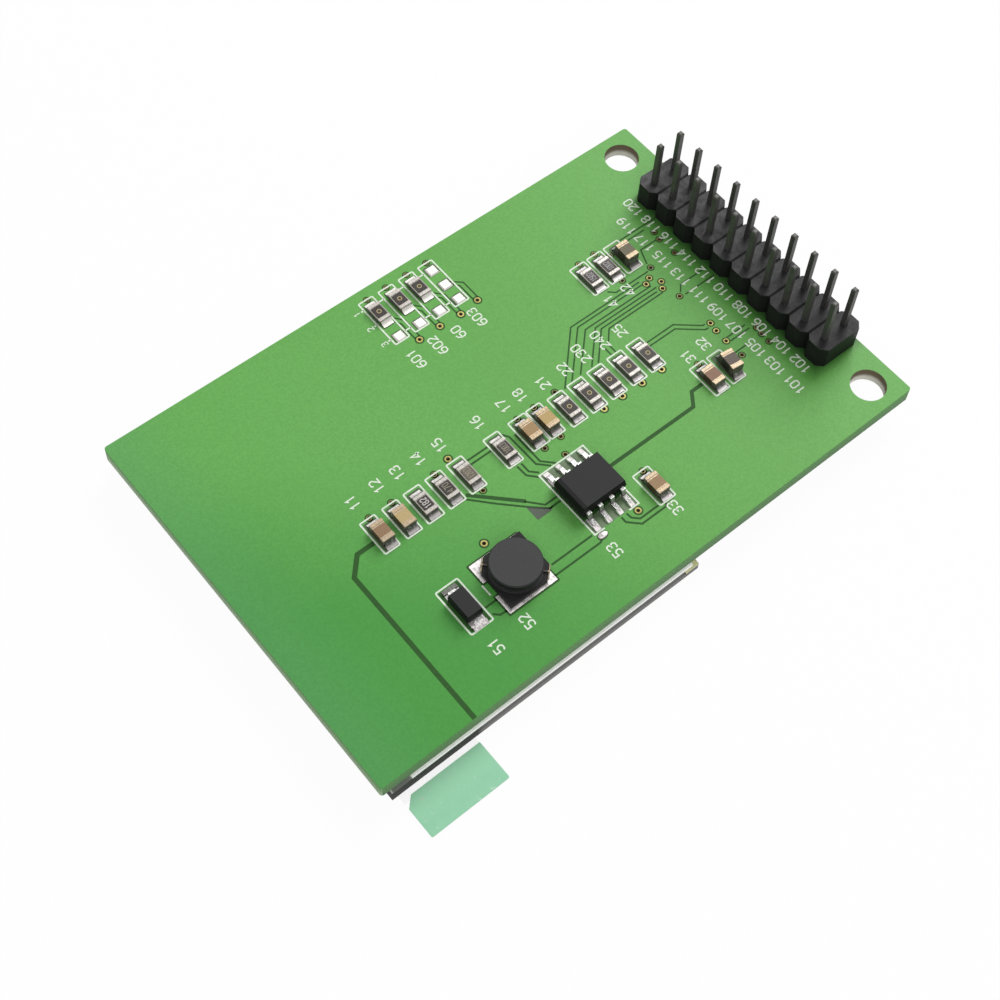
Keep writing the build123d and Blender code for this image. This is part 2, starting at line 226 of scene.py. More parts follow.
def addLine(shape, points, width, low, high, closed=False):
    # a flat line with mitred corners, which sharp turns don't draw out further than sharpest allows
    sharpest = 0.4
    points = [Vector(p) for p in points]
    count = len(points)
    rings = []
    for i, here in enumerate(points):
        ways = []
        if closed or i > 0:
            ways.append((here - points[i - 1]).normalized())
        if closed or i < count - 1:
            ways.append((points[(i + 1) % count] - here).normalized())
        way = sum(ways, Vector((0, 0))).normalized()
        side = Vector((-way.y, way.x))
        reach = width / 2 / max(side.dot(Vector((-ways[0].y, ways[0].x))), sharpest)
        ring = []
        for sign, level in ((-1, low), (1, low), (1, high), (-1, high)):
            at = here + side * reach * sign
            ring.append(shape.verts.new(spot(at.x, at.y, level)))
        rings.append(ring)
    for i in range(count if closed else count - 1):
        first, second = rings[i], rings[(i + 1) % count]
        for k in range(4):
            shape.faces.new((first[k], first[(k + 1) % 4], second[(k + 1) % 4], second[k]))
    if not closed:
        shape.faces.new(rings[0])
        shape.faces.new(list(reversed(rings[-1])))


def circlePoints(x, y, radius, sides):
    angles = [2 * math.pi * k / sides for k in range(sides)]
    return [(x + radius * math.cos(a), y + radius * math.sin(a)) for a in angles]


def boxPoints(xLow, yLow, xHigh, yHigh, corner=0.0):
    if corner <= 0:
        return [(xLow, yLow), (xHigh, yLow), (xHigh, yHigh), (xLow, yHigh)]
    points = []
    for cx, cy, start in ((xLow, yLow, 180), (xHigh, yLow, 270), (xHigh, yHigh, 0), (xLow, yHigh, 90)):
        middleX = cx + (corner if cx == xLow else -corner)
        middleY = cy + (corner if cy == yLow else -corner)
        for step in (0, 45, 90):
            angle = math.radians(start + step)
            points.append((middleX + corner * math.cos(angle), middleY + corner * math.sin(angle)))
    return points


def boxRound(x, y, reach, corner=0.0):  # reach is a box about (0, 0), moved to x, y
    return boxPoints(x + reach[0], y + reach[1], x + reach[2], y + reach[3], corner)


def addRing(shape, x, y, inner, outer, low, high, sides=24):
    inside = circlePoints(x, y, inner, sides)
    outside = circlePoints(x, y, outer, sides)
    loops = [[shape.verts.new(spot(px, py, z)) for px, py in ring] for ring, z in
             ((inside, low), (outside, low), (outside, high), (inside, high))]
    for k in range(4):
        first, second = loops[k], loops[(k + 1) % 4]
        for i in range(sides):
            j = (i + 1) % sides
            shape.faces.new((first[i], first[j], second[j], second[i]))


# Circuit board

board = {
    "nearShadedGreen": tint(72, 151, 62),         # towards the near corner at the display end; painted shade
    "farLitGreen": tint(104, 173, 84),         # towards the far long edge; painted light
    "headerLitGreen": tint(96, 165, 70),       # towards the header; painted light
    "endGreen": tint(92, 158, 104),         # a bluer green at the display end
    "underGreen": tint(84, 148, 74),
    "grainGreen": tint(40, 106, 40),
    "grain": 0.2,
    "farFrom": (-24.0, 0.0),                # where each green sets in, in model millimetres
    "headerFrom": (-16.0, 14.0),
    "endTo": (-30.0, -22.0),
    "cutTop": tint(100, 152, 90),
    "cutBottom": tint(104, 134, 98),
    "cutBottomEnd": tint(178, 198, 168),
    "cutLayer": tint(92, 128, 82),
    "cutRise": (1.9, 3.9),                  # from the bottom colour to the top one
    "cutFrom": (29.6, 19.2),                # walls beyond this are cut sides, the others are holes
    "holeWall": tint(126, 112, 92),
    "holeDark": tint(92, 84, 66),
    "holeFootLight": tint(232, 230, 222),
    "footRise": (2.5, 3.1),
    "headerEdge": 24.8,                     # where the header's housing stands
    "headerEnd": -12.4,
    "headerFar": 13.0,
    "headerShade": (-0.3, 1.5),             # how far from the housing its shade fades
    "headerShadeGreen": tint(14, 34, 18),
}


def makeBoardFinish():
    mask = Finish("solderMask", Specular_IOR_Level=0.28)
    fine = mask.noise(5.0, 3.0, 0.6)
    cloud = mask.noise(0.12, 1.0)

    # painted light and shade: the greens grow paler from the near corner towards the far edge and the
    # header, the side the lamp stands on; the clouds, the grain and the bluer display end are the board's
    # own tone
    diagonal = mask.x * 0.8 + mask.y + cloud * 6
    across = mask.mix(diagonal.rise(*board["farFrom"]), board["nearShadedGreen"], board["farLitGreen"])
    towardsHeader = (mask.x + cloud * 6).rise(*board["headerFrom"])
    base = mask.mix(towardsHeader * 0.75, across, board["headerLitGreen"])
    base = mask.mix((1 - mask.x.rise(*board["endTo"])) * 0.35, base, board["endGreen"])
    shade = mask.mix(fine.rise(0.3, 0.7) * board["grain"] + cloud * 0.05, base, board["grainGreen"])

    # painted shade: the ground beside the housing's near side and near end is painted dark green, fading
    # within headerShade of it
    fromHeader = (board["headerEdge"] - mask.x).orMore(board["headerEnd"] - mask.y)
    pastHeader = mask.y.rise(board["headerFar"] - 1.5, board["headerFar"])
    close = (1 - fromHeader.rise(*board["headerShade"])) * (1 - pastHeader)
    shade = mask.mix(close * 0.72, shade, board["headerShadeGreen"])
    face = mask.mix(mask.facing("Z") < -0.5, shade, board["underGreen"])

    layers = (mask.z * 38 + mask.noise(2.0) * 5).wave() * 0.5 + 0.5      # the glass cloth in the cut sides
    foot = mask.mix(mask.facing("X") < -0.5, board["cutBottom"], board["cutBottomEnd"])
    cutSide = mask.mix(mask.z.rise(*board["cutRise"]), foot, board["cutTop"])
    cutSide = mask.mix(layers * 0.25, cutSide, board["cutLayer"])
    hole = mask.mix(mask.noise(5.0) * 0.6, board["holeWall"], board["holeDark"])
    # painted light: each hole's wall turns near white towards the board's lower face
    hole = mask.mix(mask.z.rise(*board["footRise"]), board["holeFootLight"], hole)
    outside = (abs(mask.x) - board["cutFrom"][0]).orMore(abs(mask.y) - board["cutFrom"][1]) > 0

    wall = mask.onWall()
    mask.put("Base Color", mask.mix(wall, face, mask.mix(outside, hole, cutSide)))
    mask.put("Roughness", 0.42 + wall * 0.35 + fine * 0.06)
    mask.bump(fine * 0.5 + mask.grains(1.4) * 0.3 + layers * wall * 2, 0.006)
    return mask


dress(makeBoardFinish(), "pcb")
print("board dressed")


# Places of the vias and chips

vias = {
    "hole": 0.176,              # radius inside the gold ring
    "ringHeight": 0.02,
    "gapHole": 0.25,            # radius inside the dark ring
    "gapUnder": 0.46,           # the dark ring's outer radius on the lower face
    "gold": (tint(180, 168, 94), tint(140, 128, 66)),
    "dullGold": (tint(132, 122, 66), tint(84, 92, 48)),
}

# outer radius of the dark ring, outer radius of the gold ring, places
clearVias = (0.46, 0.31, [                        # rings that stand out bright
    (22.5, 20.03), (36.57, 15.56), (38.76, 15.56), (41.08, 15.52), (43.47, 15.52), (32.08, 6.0),
    (19.74, 11.7), (28.3, 31.44), (30.67, 31.48), (33.0, 31.37), (35.2, 31.67),
])
smallVias = (0.4, 0.265, [                        # bright too, but narrower
    (50.49, 16.55), (50.32, 15.59), (50.26, 14.2), (49.47, 23.85), (48.76, 23.5), (50.1, 22.86),
    (49.65, 22.2),
])
dullVias = (0.38, 0.25, [                         # rings half hidden under the green
    (13.65, 19.6), (16.03, 19.62), (20.6, 19.56), (22.9, 15.74), (29.79, 19.47), (31.76, 19.5),
    (29.79, 15.7), (31.68, 15.75), (34.26, 19.6), (46.45, 13.92), (35.0, 8.67), (30.8, 14.1),
    (50.33, 12.18), (53.5, 13.53), (53.39, 12.76), (53.35, 11.73), (45.27, 29.08), (47.2, 29.1),
    (47.26, 25.18), (48.3, 28.08), (50.4, 24.67), (50.3, 20.55), (53.5, 27.6), (53.3, 26.67),
    (53.38, 24.6), (27.2, 37.86), (29.42, 37.92), (31.78, 37.94), (34.1, 37.9),
])

chipRowX = [13.55, 15.82, 18.12, 20.5, 22.85, 26.9, 29.74, 31.68, 34.08, 36.42, 38.78, 41.1, 43.42]
chipCentres = [(x, 17.62 if x < 33 else 17.42) for x in chipRowX]
chipCentres += [(45.02, 27.0), (47.12, 27.0), (49.36, 27.0), (46.36, 11.95), (48.5, 11.95), (34.86, 6.75)]
jumperX = (27.1, 29.45, 31.72, 33.97)
jumperY = (36.9, 34.85, 32.85)


# Dark lines between copper areas, and the bare ground under the chips and pads, which also carries the
# chips' painted shade

gapLines = {
    "lineTints": (tint(40, 78, 34), tint(58, 102, 46)),
    "height": 0.008,
    # width of each group, and its lines
    "groups": [
        (0.44, [
            [(12.6, 17.45), (10.8, 17.45), (9.3, 15.85), (9.3, 0.02)],
        ]),
        (0.36, [
            [(33.1, 10.8), (43.0, 10.8), (44.0, 12.1), (45.4, 12.1)],
            [(21.45, 16.3), (25.1, 12.65)],
        ]),
        (0.19, [
            [(25.0, 12.7), (26.2, 11.35), (27.55, 11.35)],
            [(21.2, 15.95), (23.0, 14.0), (25.0, 12.0), (26.3, 10.85), (27.55, 10.85)],
            [(26.72, 15.77), (26.78, 14.6), (27.55, 13.75)],
            [(27.2, 15.77), (27.2, 14.75), (27.85, 14.1)],
            [(27.7, 19.1), (28.1, 18.5), (28.17, 14.95), (29.1, 14.0)],
            [(28.65, 18.4), (28.63, 14.95), (29.6, 13.95)],
            [(23.65, 18.87), (26.0, 18.87)],
            [(23.65, 18.38), (26.0, 18.38)],
            [(22.9, 6.63), (27.4, 6.63)],
            [(22.5, 5.67), (27.5, 5.67), (27.85, 5.85)],
            [(16.0, 7.0), (17.3, 7.0)],
            [(16.15, 6.2), (16.6, 5.75), (17.3, 5.7)],
            [(30.5, 6.4), (30.5, 5.8), (31.5, 4.82), (34.4, 4.82), (34.4, 5.15)],
            [(31.1, 6.4), (31.15, 5.85), (31.7, 5.3), (33.9, 5.3)],
        ]),
        (0.15, [
            [(48.4, 24.08), (40.0, 24.08), (35.2, 19.3)],
            [(48.4, 23.68), (40.5, 23.68), (36.15, 19.45)],
            [(49.0, 23.07), (40.9, 23.07), (37.3, 19.6)],
            [(49.3, 22.66), (41.75, 22.66), (38.65, 19.6)],
            [(49.0, 22.24), (42.1, 22.24), (39.4, 19.55)],
            [(49.4, 21.84), (42.7, 21.84), (41.46, 20.55), (41.46, 19.5)],
            [(40.93, 20.45), (40.93, 19.5)],
            [(44.3, 18.53), (47.65, 18.53), (49.75, 16.78), (50.0, 16.78)],
            [(44.3, 18.08), (47.45, 18.08), (49.6, 16.3), (50.0, 16.28)],
            [(50.6, 14.45), (52.9, 14.45)],
            [(50.6, 13.95), (53.0, 13.95)],
            [(49.4, 12.75), (51.4, 12.75)],
            [(50.2, 28.85), (55.0, 28.85)],
            [(50.2, 28.4), (52.9, 28.4)],
            [(50.4, 25.2), (51.05, 26.8), (53.0, 26.8)],
            [(50.7, 20.85), (51.3, 21.5), (54.6, 21.5)],
            [(50.9, 20.4), (54.6, 20.4)],
            [(45.3, 25.05), (45.9, 24.5), (49.9, 24.5)],
            [(34.28, 35.1), (35.45, 34.05), (35.45, 31.95)],
            [(34.4, 34.55), (34.95, 33.95), (34.95, 31.95)],
            [(32.35, 34.95), (33.25, 34.0), (33.25, 31.7)],
            [(32.3, 34.4), (32.78, 33.85), (32.78, 31.7)],
            [(30.05, 34.95), (30.92, 34.0), (30.92, 31.8)],
            [(30.0, 34.4), (30.42, 33.85), (30.42, 31.8)],
            [(27.75, 34.95), (28.55, 34.0), (28.55, 31.75)],
            [(27.7, 34.4), (28.05, 33.85), (28.05, 31.75)],
        ]),
    ],
    "underCount": 19,                   # lines on the lower face
    "underWidth": 0.15,
    "underLine": [(49.7, 7.6), (52.2, 7.6), (54.3, 7.92)],      # the first of them
    "underSteps": (1.27, 1.27, 1.2),    # from one line to the next, at each of its points
    "patch": [(24.74, 12.15), (24.74, 10.6), (26.2, 10.6), (26.75, 10.9), (26.2, 10.9)],
    "boxes": [
        (27.68, 8.05, 32.2, 12.3),      # under the package: painted shade of its body
        (13.75, 5.95, 15.8, 10.4, 0.1),         # round the diode's pads: bare laminate and painted shade
        (17.13, 5.11, 22.57, 7.39, 0.1),        # round the inductor's pads
        (17.13, 8.65, 22.57, 10.93, 0.1),
    ],
}

# bare laminate round the pads, and painted shade of the chips and the package; the chips' plates reach
# further on their shaded side
plates = {
    "tints": (tint(76, 98, 68), tint(104, 126, 92)),
    "corner": 0.2,
    "chip": (-0.76, -1.74, 0.7, 1.74),
    "jumperPad": (-0.66, -0.6, 0.62, 0.6),
    "jumperBridge": (-0.72, 0.35, 0.4, 1.65),       # from the middle pad to the far one
    "betweenLeads": [(27.72, 6.6, 32.48, 8.05), (27.72, 12.3, 32.48, 13.73)],
}

# shades on these lines and plates, in model millimetres
gapShades = {
    "patch": tint(92, 100, 88), "patchMiddle": (-4.4, -8.1), "patchReach": (0.9, 0.85),
    "patchSlope": 0.856, "patchLimit": -11.86,
    "leads": tint(118, 136, 108), "leadsX": 0.1, "leadsY": -9.385, "leadsReach": 2.39,
    "leadRow": 2.85, "leadRowReach": 0.74, "bodyShade": (-12.5, -12.0),
}


def drawGaps(shape):
    top = gapLines["height"]
    for width, lines in gapLines["groups"]:
        for points in lines:
            addLine(shape, points, width, 0, top)
    addPlate(shape, gapLines["patch"], 0, top)
    for corners in gapLines["boxes"]:
        addPlate(shape, boxPoints(*corners), 0, top)
    for k in range(gapLines["underCount"]):
        places = zip(gapLines["underLine"], gapLines["underSteps"])
        points = [(x, y + k * step) for (x, y), step in places]
        addLine(shape, points, gapLines["underWidth"], underside - top, underside)
    for outer, _, places in (clearVias, smallVias, dullVias):
        for x, y in places:
            addRing(shape, x, y, vias["gapHole"], outer, 0, top)
            if x > panelClear:
                addRing(shape, x, y, vias["gapHole"], vias["gapUnder"], underside - top, underside)


def drawPlates(shape):
    top, corner = gapLines["height"], plates["corner"]
    for x, y in chipCentres:
        addPlate(shape, boxRound(x, y, plates["chip"], corner), 0, top)
    for x in jumperX:
        for y in jumperY:
            addPlate(shape, boxRound(x, y, plates["jumperPad"], corner), 0, top)
    for x in jumperX[:3]:
        addPlate(shape, boxRound(x, jumperY[1], plates["jumperBridge"]), 0, top)
    for corners in plates["betweenLeads"]:
        addPlate(shape, boxPoints(*corners), 0, top)


def makeGapFinish(name, dark, pale):
    gap = Finish(name, Roughness=0.55, Specular_IOR_Level=0.15)
    line = gap.mix(gap.noise(3.0, 2.0) * 0.5, dark, pale)
    pastSlope = gap.x * gapShades["patchSlope"] + gap.y < gapShades["patchLimit"]
    atPatch = gap.inBox(gapShades["patchMiddle"], gapShades["patchReach"]) * pastSlope
    fromRow = abs(abs(gap.y - gapShades["leadsY"]) - gapShades["leadRow"])
    acrossLeads = abs(gap.x - gapShades["leadsX"]) < gapShades["leadsReach"]
    atLeads = acrossLeads * (fromRow < gapShades["leadRowReach"])
    # painted shade: the pale ground between the near leads darkens close to the package's body
    bodyShade = gap.y.rise(*gapShades["bodyShade"]) * (gap.y < gapShades["leadsY"])
    ground = gap.mix(atPatch, line, gapShades["patch"])
    gap.put("Base Color", gap.mix(atLeads * (1 - bodyShade * 0.75), ground, gapShades["leads"]))
    gap.bump(gap.noise(8.0), 0.004)
    return gap


lineFinish = makeGapFinish("laminateLineAndShade", *gapLines["lineTints"])
plateFinish = makeGapFinish("laminateAndShadePlate", *plates["tints"])
addPiece("copper_gaps", drawGaps, lineFinish)
addPiece("chip_plates", drawPlates, plateFinish)


def drawRings(shape, *groups):
    for _, outer, places in groups:
        for x, y in places:
            addRing(shape, x, y, vias["hole"], outer, 0, vias["ringHeight"])
            if x > panelClear:
                addRing(shape, x, y, vias["hole"], outer, underside - vias["ringHeight"], underside)


def makeGoldFinish(name, gold, old):
    plate = Finish(name, Metallic=0.35)
    plate.put("Base Color", plate.mix(plate.noise(1.3, 3.0).rise(0.35, 0.7), gold, old))
    plate.put("Roughness", 0.3 + plate.noise(6.0) * 0.2)
    plate.bump(plate.noise(10.0), 0.01)
    return plate


goldPlate = makeGoldFinish("goldPlate", *vias["gold"])
dullGoldPlate = makeGoldFinish("dullGoldPlate", *vias["dullGold"])
addPiece("via_rings", lambda shape: drawRings(shape, clearVias, smallVias), goldPlate)
addPiece("via_rings_dull", lambda shape: drawRings(shape, dullVias), dullGoldPlate)
print("gap lines and rings drawn")


# White printing: outlines and plain numbers

printing = {
    "width": 0.15,
    "corner": 0.12,
    "high": 0.022,
    "white": tint(226, 236, 220),
    "worn": tint(178, 206, 168),
    "boxes": [
        (12.65, 16.0, 14.2, 19.6), (14.98, 16.0, 16.56, 19.6), (17.25, 16.0, 18.95, 19.6),
        (19.6, 16.0, 21.27, 19.6), (21.93, 16.0, 23.58, 19.6), (26.02, 16.0, 27.65, 19.6),
        (28.83, 16.0, 30.7, 19.6), (30.87, 16.0, 32.45, 19.6),
        (33.17, 15.77, 34.88, 19.4), (35.5, 15.77, 37.22, 19.4), (37.84, 15.77, 39.55, 19.4),
        (40.24, 15.77, 41.95, 19.4), (42.55, 15.77, 44.22, 19.4),
        (45.41, 10.35, 47.1, 13.94), (47.5, 10.35, 49.1, 13.9),
        (44.1, 25.41, 45.86, 29.04), (46.2, 25.41, 47.9, 29.04), (48.26, 25.41, 50.06, 29.04),
        (33.9, 5.16, 35.67, 8.78), (13.62, 5.78, 15.92, 10.55),
        (26.26, 32.3, 27.83, 37.9), (28.5, 32.3, 30.1, 37.9), (30.83, 32.3, 32.44, 37.9),
        (33.1, 32.3, 34.7, 37.9),
    ],
    "lines": [
        [(28.7, 6.5), (27.6, 6.5), (27.6, 13.85), (32.6, 13.85), (32.6, 6.5), (31.5, 6.5)],
        [(17.1, 7.6), (17.1, 8.75)],
        [(26.26, 37.05), (25.95, 37.05)], [(26.26, 35.05), (25.95, 35.05)], [(26.26, 33.0), (25.95, 33.0)],
        [(27.83, 37.0), (28.5, 37.0)], [(30.1, 37.0), (30.83, 37.0)], [(32.44, 37.0), (33.1, 37.0)],
        [(27.83, 33.0), (28.5, 33.0)], [(30.1, 33.0), (30.83, 33.0)], [(32.44, 33.0), (33.1, 33.0)],
    ],
    # number, x of its foot, y where it starts
    "numbers": [
        ("11", 13.9, 21.0), ("12", 16.5, 21.05), ("13", 18.65, 21.0), ("14", 20.95, 21.0),
        ("15", 23.2, 20.95), ("16", 27.25, 20.7), ("17", 30.2, 20.65), ("18", 32.05, 20.6),
        ("21", 34.5, 20.4), ("22", 36.97, 20.3), ("230", 39.25, 20.3), ("240", 41.6, 20.35),
        ("25", 43.72, 20.4), ("31", 46.75, 14.45), ("32", 48.82, 14.6), ("41", 45.3, 23.4),
        ("42", 47.4, 23.4), ("51", 15.0, 3.15), ("52", 18.4, 3.3), ("53", 28.4, 3.75),
        ("33", 35.2, 3.6), ("601", 27.2, 28.95), ("602", 29.65, 28.95), ("60", 32.0, 29.3),
        ("603", 34.4, 29.2),
    ],
    "smallNumbers": [("1", 25.8, 36.9), ("2", 25.8, 34.85), ("3", 25.8, 32.75)],
    "columns": [(52.35, 5.9, 101), (54.35, 7.2, 102)],      # x, first y, first number: one a pin
    "columnPitch": 2.54,
    "columnCount": 10,
    "digits": (0.88, 0.52, 0.74, 0.135),        # height, width, step and line width
    "small": 0.66,                              # the jumper digits, as a share of the others
}

# each digit's lines in a box 1 by 1
strokes = {
    "0": [[(0.2, 0), (0.8, 0), (1, 0.2), (1, 0.8), (0.8, 1), (0.2, 1), (0, 0.8), (0, 0.2), (0.2, 0)]],
    "1": [[(0.2, 0.78), (0.55, 1), (0.55, 0)]],
    "2": [[(0, 0.8), (0.2, 1), (0.8, 1), (1, 0.8), (1, 0.62), (0, 0.03), (1, 0.03)]],
    "3": [[(0, 0.88), (0.2, 1), (0.8, 1), (1, 0.84), (1, 0.66), (0.75, 0.53), (0.3, 0.53)],
          [(0.75, 0.53), (1, 0.38), (1, 0.18), (0.8, 0), (0.2, 0), (0, 0.14)]],
    "4": [[(0.75, 0), (0.75, 1), (0, 0.3), (1.05, 0.3)]],
    "5": [[(0.95, 1), (0.08, 1), (0.05, 0.56), (0.7, 0.6), (1, 0.42), (1, 0.18), (0.75, 0), (0.22, 0),
           (0, 0.14)]],
    "6": [[(0.85, 1), (0.35, 0.92), (0, 0.55), (0, 0.2), (0.22, 0), (0.78, 0), (1, 0.2), (1, 0.4),
           (0.78, 0.56), (0.1, 0.5)]],
    "7": [[(0, 1), (1, 1), (0.35, 0)]],
    "8": [[(0.25, 0.53), (0.02, 0.7), (0.02, 0.85), (0.25, 1), (0.75, 1), (0.98, 0.85), (0.98, 0.7),
           (0.75, 0.53), (0.25, 0.53), (0, 0.36), (0, 0.16), (0.22, 0), (0.78, 0), (1, 0.16), (1, 0.36),
           (0.75, 0.53)]],
    "9": [[(0.15, 0), (0.65, 0.08), (1, 0.45), (1, 0.8), (0.78, 1), (0.22, 1), (0, 0.8), (0, 0.6),
           (0.22, 0.44), (0.9, 0.5)]],
}


def writeNumber(shape, number, footX, startY, digits, low, high):
    # reads along +Y with the digit tops towards -X, as on the board
    height, width, step, lineWidth = digits
    for place, digit in enumerate(number):
        for stroke in strokes[digit]:
            points = [(footX - v * height, startY + place * step + u * width) for u, v in stroke]
            addLine(shape, points, lineWidth, low, high)


def drawPrinting(shape):
    high, digits = printing["high"], printing["digits"]
    for corners in printing["boxes"]:
        outline = boxPoints(*corners, printing["corner"])
        addLine(shape, outline, printing["width"], 0, high, closed=True)
    for points in printing["lines"]:
        addLine(shape, points, printing["width"], 0, high)
    for number, x, y in printing["numbers"]:
        writeNumber(shape, number, x, y, digits, 0, high)
    smallDigits = [size * printing["small"] for size in digits]
    for number, x, y in printing["smallNumbers"]:
        writeNumber(shape, number, x, y, smallDigits, 0, high)
    for footX, startY, first in printing["columns"]:
        for k in range(printing["columnCount"]):
            y = startY + k * printing["columnPitch"]
            writeNumber(shape, str(first + 2 * k), footX, y, digits, 0, high)


def makePrintFinish():
    ink = Finish("whitePrint", Roughness=0.6)
    wear = ink.noise(4.0, 3.0).rise(0.4, 0.75) * 0.5
    ink.put("Base Color", ink.mix(wear, printing["white"], printing["worn"]))
    ink.bump(ink.noise(12.0), 0.006)
    return ink


addPiece("board_printing", drawPrinting, makePrintFinish())
print("printing drawn")


# Solder and pads, in model millimetres

solderLook = {
    "bright": tint(226, 220, 219),
    "dull": tint(140, 137, 136),
    "slope": tint(92, 89, 86),
    "laminate": tint(96, 120, 86),
    "dim": tint(88, 92, 82),
    "underTop": 2.2,                    # the joints below this level are on the board's lower face
    "rowY": -3.3,                       # the near pads of the long row of chips
    "rowReach": 0.9,
    "dullest": -5.0,                    # that row is dullest on the display side of this x
    "bareY": 12.2,                      # the jumpers' pads lie beyond this y
    "bare": tint(250, 248, 240),
    "bareSlope": tint(206, 202, 196),
    "diodeX": -15.23,                   # the diode's pads lie about this x, nearer than diodeY
    "diodeReach": 1.0,
    "diodeY": -8.0,
    "diodeDark": -9.7,                  # where the dark end of its upper pad begins
    "leadX": 0.765,                     # the middle of one lead of the package
    "leadY": -9.4,                      # the package's middle
    "leadPitch": 1.27,
    "leadReach": (2.4, 3.7),
    "footY": (-12.7, -12.1),            # its near pads get painted shade beyond this
    "topFrom": 3.6,                     # the pads above this level are on the board's top
}


def makeSolderFinish():
    tin = Finish("solder", Metallic=0.6)
    bright, dull = solderLook["bright"], solderLook["dull"]
    acrossDiode = abs(tin.x - solderLook["diodeX"]) < solderLook["diodeReach"]
    atDiode = acrossDiode * (tin.y < solderLook["diodeY"])
    blots = (tin.noise(3.6, 2.0) + atDiode * 0.1).rise(0.52, 0.66)

    top = tin.mix(blots * 0.6, bright, dull)
    inRow = abs(tin.y - solderLook["rowY"]) < solderLook["rowReach"]
    top = tin.mix(inRow * (0.34 + (tin.x < solderLook["dullest"]) * 0.3), top, dull)
    bare = tin.y > solderLook["bareY"]
    top = tin.mix(bare * 0.6, top, solderLook["bare"])
    # painted shade: the joints' slanted faces are painted darker than their flat tops, on the jumpers'
    # bare pads too
    slope = tin.mix(bare, tin.mix(blots, solderLook["slope"], dull), solderLook["bareSlope"])
    base = tin.mix(tin.facing("Z").rise(0.72, 0.95), slope, top)
    base = tin.mix(tin.z < solderLook["underTop"], base, tin.mix(blots * 0.4, bright, dull))

    # the package's pads: bare laminate beside a narrow strip of solder, with painted shade close to the
    # body
    turn = 2 * math.pi / solderLook["leadPitch"]
    fromLead = ((tin.x - solderLook["leadX"]) * turn + math.pi / 2).wave()
    near = tin.inBox((solderLook["leadX"], solderLook["leadY"]), solderLook["leadReach"])
    beside = (1 - fromLead.rise(0.35, 0.55)) * near * (tin.z > solderLook["topFrom"])
    foot = near * tin.y.rise(*solderLook["footY"]) * (tin.y < solderLook["leadY"])
    beyond = atDiode * (tin.y > solderLook["diodeDark"])
    base = tin.mix((foot * 0.55).orMore(beyond * 0.8), base, solderLook["dim"])

    tin.put("Base Color", tin.mix(beside, base, solderLook["laminate"]))
    tin.put("Metallic", 0.6 - beside * 0.6)
    tin.put("Roughness", 0.26 + tin.noise(2.5, 1.0) * 0.14 + beside * 0.3)
    tin.bump(tin.noise(1.6, 1.0), 0.03)
    return tin


leadLook = {
    "bright": tint(214, 213, 210),
    "dull": tint(160, 160, 160),
    "shaded": tint(84, 84, 82),
    "shadeTop": 4.1,                    # the near feet of the package lie in the body's shade
    "shadeX": 3.0,
    "shadeY": -11.0,
}


def makeLeadFinish():
    lead = Finish("tinnedLead", Metallic=1.0)
    metal = lead.mix(lead.noise(4.0), leadLook["bright"], leadLook["dull"])
    nearFeet = (abs(lead.x) < leadLook["shadeX"]) * (lead.y < leadLook["shadeY"])
    shaded = nearFeet * (lead.z < leadLook["shadeTop"])
    lead.put("Base Color", lead.mix(shaded * 0.6, metal, leadLook["shaded"]))
    lead.put("Roughness", 0.25 + lead.noise(7.0) * 0.2)
    lead.bump(lead.noise(6.0), 0.03)
    return lead


solder = makeSolderFinish()
dress(solder, "chip_solder", "header_solder")
dress(makeLeadFinish(), "regulator_leads", "diode_leads")


# Chip resistors and capacitors

resistors = {
    "places": [
        (18.12, 17.62), (20.5, 17.62), (22.85, 17.62), (26.9, 17.62), (34.08, 17.42), (36.42, 17.42),
        (38.78, 17.42), (41.1, 17.42), (43.42, 17.42), (45.02, 27.0), (47.12, 27.0),
        (27.1, 35.87), (29.45, 35.87), (31.72, 35.87),
    ],
    "marks": ["182", "470", "1203", "1003", "0", "0", "0", "0", "0", "1502", "1002", "0", "0", "0"],
    # the chips that each ink marks, counted from 0, and its colour
    "inks": {
        "resistor_marks": ([4, 5, 6, 7, 8, 11, 12, 13], tint(178, 162, 112)),
        "resistor_marks_white": ([0], tint(216, 212, 210)),
        "resistor_marks_grey": ([9, 10], tint(166, 163, 162)),
        "resistor_marks_dull": ([1, 2, 3], tint(146, 138, 120)),
    },
    "markHeight": 0.58,
    "markLength": 1.08,
    "markLine": 0.07,
    "markStart": (0.29, -0.52),
    "markRing": (0.15, 0.235),          # a zero's two radii
    "markLevel": 0.026,                 # above the top of the chip, as the glaze's level is
    "glaze": tint(52, 46, 42),
    "paleGlaze": tint(104, 98, 82),
    "paleChip": 2,
    "glazeBox": (-0.55, -0.62, 0.55, 0.62),
    "glazeCorner": 0.08,
    "glazeInset": 0.05,
    "glazeFoot": 0.4,
    "glazeLevel": 0.02,
    "alumina": tint(176, 172, 162),
    "end": tint(186, 181, 175),
    "top": 0.525,
    "rough": 0.6, "bodyHalf": 0.64, "sideShade": 0.22,
}

capacitors = {
    # x, y, turn in degrees, body colour
    "places": [
        (13.55, 17.62, 0, tint(138, 106, 75)), (15.82, 17.62, 0, tint(184, 161, 110)),
        (29.74, 17.6, 0, tint(155, 123, 77)), (31.68, 17.6, 0, tint(180, 152, 93)),
        (34.86, 6.75, 0, tint(141, 110, 69)), (46.36, 11.95, 0, tint(124, 86, 58)),
        (48.62, 11.95, -7, tint(72, 58, 42)), (49.36, 27.0, -2, tint(87, 79, 46)),
    ],
    "end": tint(182, 160, 128),
    "rough": 0.45, "bodyHalf": 0.52, "sideShade": 0.16,
}

chipEnds = {"dull": tint(150, 142, 130), "side": tint(112, 108, 100)}


